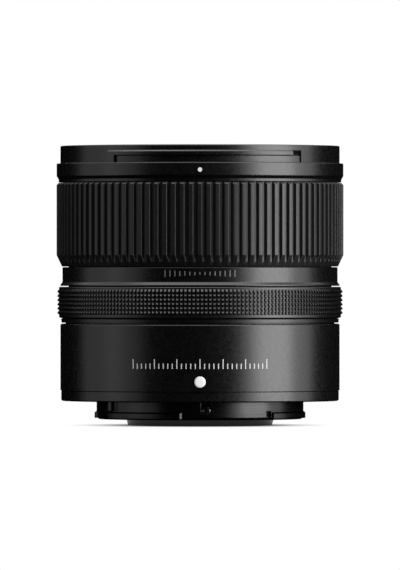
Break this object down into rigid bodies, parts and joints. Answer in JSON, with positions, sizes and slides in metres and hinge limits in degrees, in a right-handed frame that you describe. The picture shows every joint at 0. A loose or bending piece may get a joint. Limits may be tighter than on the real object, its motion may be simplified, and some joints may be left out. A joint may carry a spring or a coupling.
{
  "type": "camera zoom lens",
  "caption": "Compact interchangeable camera zoom lens with a ribbed power-zoom ring, a knurled control ring, a bayonet mount and a filter thread.",
  "frame": {"origin": "centre of the mount's seating face, on the optical axis", "axes": "+Z along the optical axis towards the front glass, -Y through the index dots, +X to the right when the dots face the viewer and the front is up"},
  "size_m": [0.072, 0.072, 0.0701],
  "materials": {
    "shell": "satin black",
    "grip": "matte black",
    "mount": "satin dark grey",
    "inner": "matte black",
    "cam_metal": "anodised grey",
    "steel": "bright steel",
    "white": "white",
    "gold": "gold plated",
    "board": "green board",
    "blade": "blackened steel",
    "glass": "coated optical glass"
  },
  "bodies": {
    "lens_body": {"front_barrel": "shell", "name_ring": "shell", "main_barrel": "inner", "centre_band": "shell", "rear_barrel": "shell", "rear_ring": "shell", "bayonet_mount": "mount", "mount_screws": "steel", "bayonet_stop_screw": "blade", "mount_index_dot": "white", "rear_shroud": "shell", "contact_block": "shell", "contact_pins": "gold", "main_board": "board", "rear_frame": "shell", "guide_barrel": "inner", "cam_retainer": "inner", "zoom_motor": "steel", "zoom_ring_sensor": "inner", "control_ring_sensor": "inner", "focus_rods": "steel", "focus_motor": "steel", "lens_10": "glass", "lens_11": "glass", "lens_12": "glass"},
    "zoom_ring": {"zoom_ring": "grip"},
    "control_ring": {"control_ring": "grip"},
    "cam_barrel": {"cam_barrel": "cam_metal"},
    "zoom_pinion": {"zoom_pinion": "gold"},
    "front_group": {"front_cell": "inner", "front_retainer": "inner", "front_followers": "steel", "lens_1": "glass", "lens_2": "glass", "lens_3": "glass", "lens_4": "glass"},
    "second_group": {"second_cell": "inner", "second_followers": "steel", "iris_base": "inner", "iris_cover": "inner", "iris_motor": "steel", "lens_5": "glass", "lens_6": "glass", "lens_7": "glass", "lens_8": "glass"},
    "iris_ring": {"iris_ring": "blade"},
    "iris_pinion": {"iris_pinion": "gold"},
    "focus_group": {"focus_cell": "inner", "lens_9": "glass"},
    "focus_screw": {"focus_screw": "steel"},
    "iris_blade_1": {"iris_blade_1": "blade"},
    "iris_blade_2": {"iris_blade_2": "blade"},
    "iris_blade_3": {"iris_blade_3": "blade"},
    "iris_blade_4": {"iris_blade_4": "blade"},
    "iris_blade_5": {"iris_blade_5": "blade"},
    "iris_blade_6": {"iris_blade_6": "blade"},
    "iris_blade_7": {"iris_blade_7": "blade"}
  },
  "joints": [
    {"name": "zoom_ring_turn", "type": "hinge", "parent": "lens_body", "child": "zoom_ring", "pos_m": [0, 0, 0.044], "axis": [0, 0, 1], "range_deg": [-12, 12], "stiffness_Nm_per_rad": 0.12},
    {"name": "control_ring_turn", "type": "hinge", "parent": "lens_body", "child": "control_ring", "pos_m": [0, 0, 0.024], "axis": [0, 0, 1], "continuous": true},
    {"name": "cam_turn", "type": "hinge", "parent": "lens_body", "child": "cam_barrel", "pos_m": [0, 0, 0.036], "axis": [0, 0, 1], "range_deg": [0, 70.02]},
    {"name": "zoom_pinion_spin", "type": "hinge", "parent": "lens_body", "child": "zoom_pinion", "pos_m": [0.02725, -0.00992, 0.035], "axis": [0, 0, 1], "range_deg": [-945.1, 0]},
    {"name": "front_group_slide", "type": "slide", "parent": "lens_body", "child": "front_group", "axis": [0, 0, 1], "range_m": [-0.004, 0]},
    {"name": "second_group_slide", "type": "slide", "parent": "lens_body", "child": "second_group", "axis": [0, 0, 1], "range_m": [0, 0.0055]},
    {"name": "iris_ring_turn", "type": "hinge", "parent": "second_group", "child": "iris_ring", "pos_m": [0, 0, 0.028], "axis": [0, 0, 1], "range_deg": [0, 4.33]},
    {"name": "iris_pinion_spin", "type": "hinge", "parent": "second_group", "child": "iris_pinion", "pos_m": [0.02, 0, 0.028], "axis": [0, 0, 1], "range_deg": [-39, 0]},
    {"name": "focus_slide", "type": "slide", "parent": "lens_body", "child": "focus_group", "axis": [0, 0, 1], "range_m": [0, 0.003]},
    {"name": "focus_screw_spin", "type": "hinge", "parent": "lens_body", "child": "focus_screw", "pos_m": [-0.00889, 0.02443, 0.014], "axis": [0, 0, 1], "range_deg": [0, 2161]},
    {"name": "iris_blade_1_turn", "type": "hinge", "parent": "second_group", "child": "iris_blade_1", "pos_m": [0.0139, 0, 0.027], "axis": [0, 0, 1], "range_deg": [0, 28]},
    {"name": "iris_blade_2_turn", "type": "hinge", "parent": "second_group", "child": "iris_blade_2", "pos_m": [0.00867, 0.01087, 0.027], "axis": [0, 0, 1], "range_deg": [0, 28]},
    {"name": "iris_blade_3_turn", "type": "hinge", "parent": "second_group", "child": "iris_blade_3", "pos_m": [-0.00309, 0.01355, 0.027], "axis": [0, 0, 1], "range_deg": [0, 28]},
    {"name": "iris_blade_4_turn", "type": "hinge", "parent": "second_group", "child": "iris_blade_4", "pos_m": [-0.01252, 0.00603, 0.027], "axis": [0, 0, 1], "range_deg": [0, 28]},
    {"name": "iris_blade_5_turn", "type": "hinge", "parent": "second_group", "child": "iris_blade_5", "pos_m": [-0.01252, -0.00603, 0.027], "axis": [0, 0, 1], "range_deg": [0, 28]},
    {"name": "iris_blade_6_turn", "type": "hinge", "parent": "second_group", "child": "iris_blade_6", "pos_m": [-0.00309, -0.01355, 0.027], "axis": [0, 0, 1], "range_deg": [0, 28]},
    {"name": "iris_blade_7_turn", "type": "hinge", "parent": "second_group", "child": "iris_blade_7", "pos_m": [0.00867, -0.01087, 0.027], "axis": [0, 0, 1], "range_deg": [0, 28]}
  ],
  "couplings": [
    {"joint": "cam_turn", "follows": "front_group_slide", "rad_per_m": -305.43},
    {"joint": "zoom_pinion_spin", "follows": "front_group_slide", "rad_per_m": 4123.3},
    {"joint": "second_group_slide", "follows": "front_group_slide", "ratio": -1.375},
    {"joint": "iris_pinion_spin", "follows": "iris_ring_turn", "ratio": -9},
    {"joint": "focus_screw_spin", "follows": "focus_slide", "rad_per_m": 12566},
    {"joint": "iris_blade_1_turn", "follows": "iris_ring_turn", "ratio": 6.4725},
    {"joint": "iris_blade_2_turn", "follows": "iris_ring_turn", "ratio": 6.4725},
    {"joint": "iris_blade_3_turn", "follows": "iris_ring_turn", "ratio": 6.4725},
    {"joint": "iris_blade_4_turn", "follows": "iris_ring_turn", "ratio": 6.4725},
    {"joint": "iris_blade_5_turn", "follows": "iris_ring_turn", "ratio": 6.4725},
    {"joint": "iris_blade_6_turn", "follows": "iris_ring_turn", "ratio": 6.4725},
    {"joint": "iris_blade_7_turn", "follows": "iris_ring_turn", "ratio": 6.4725}
  ]
}
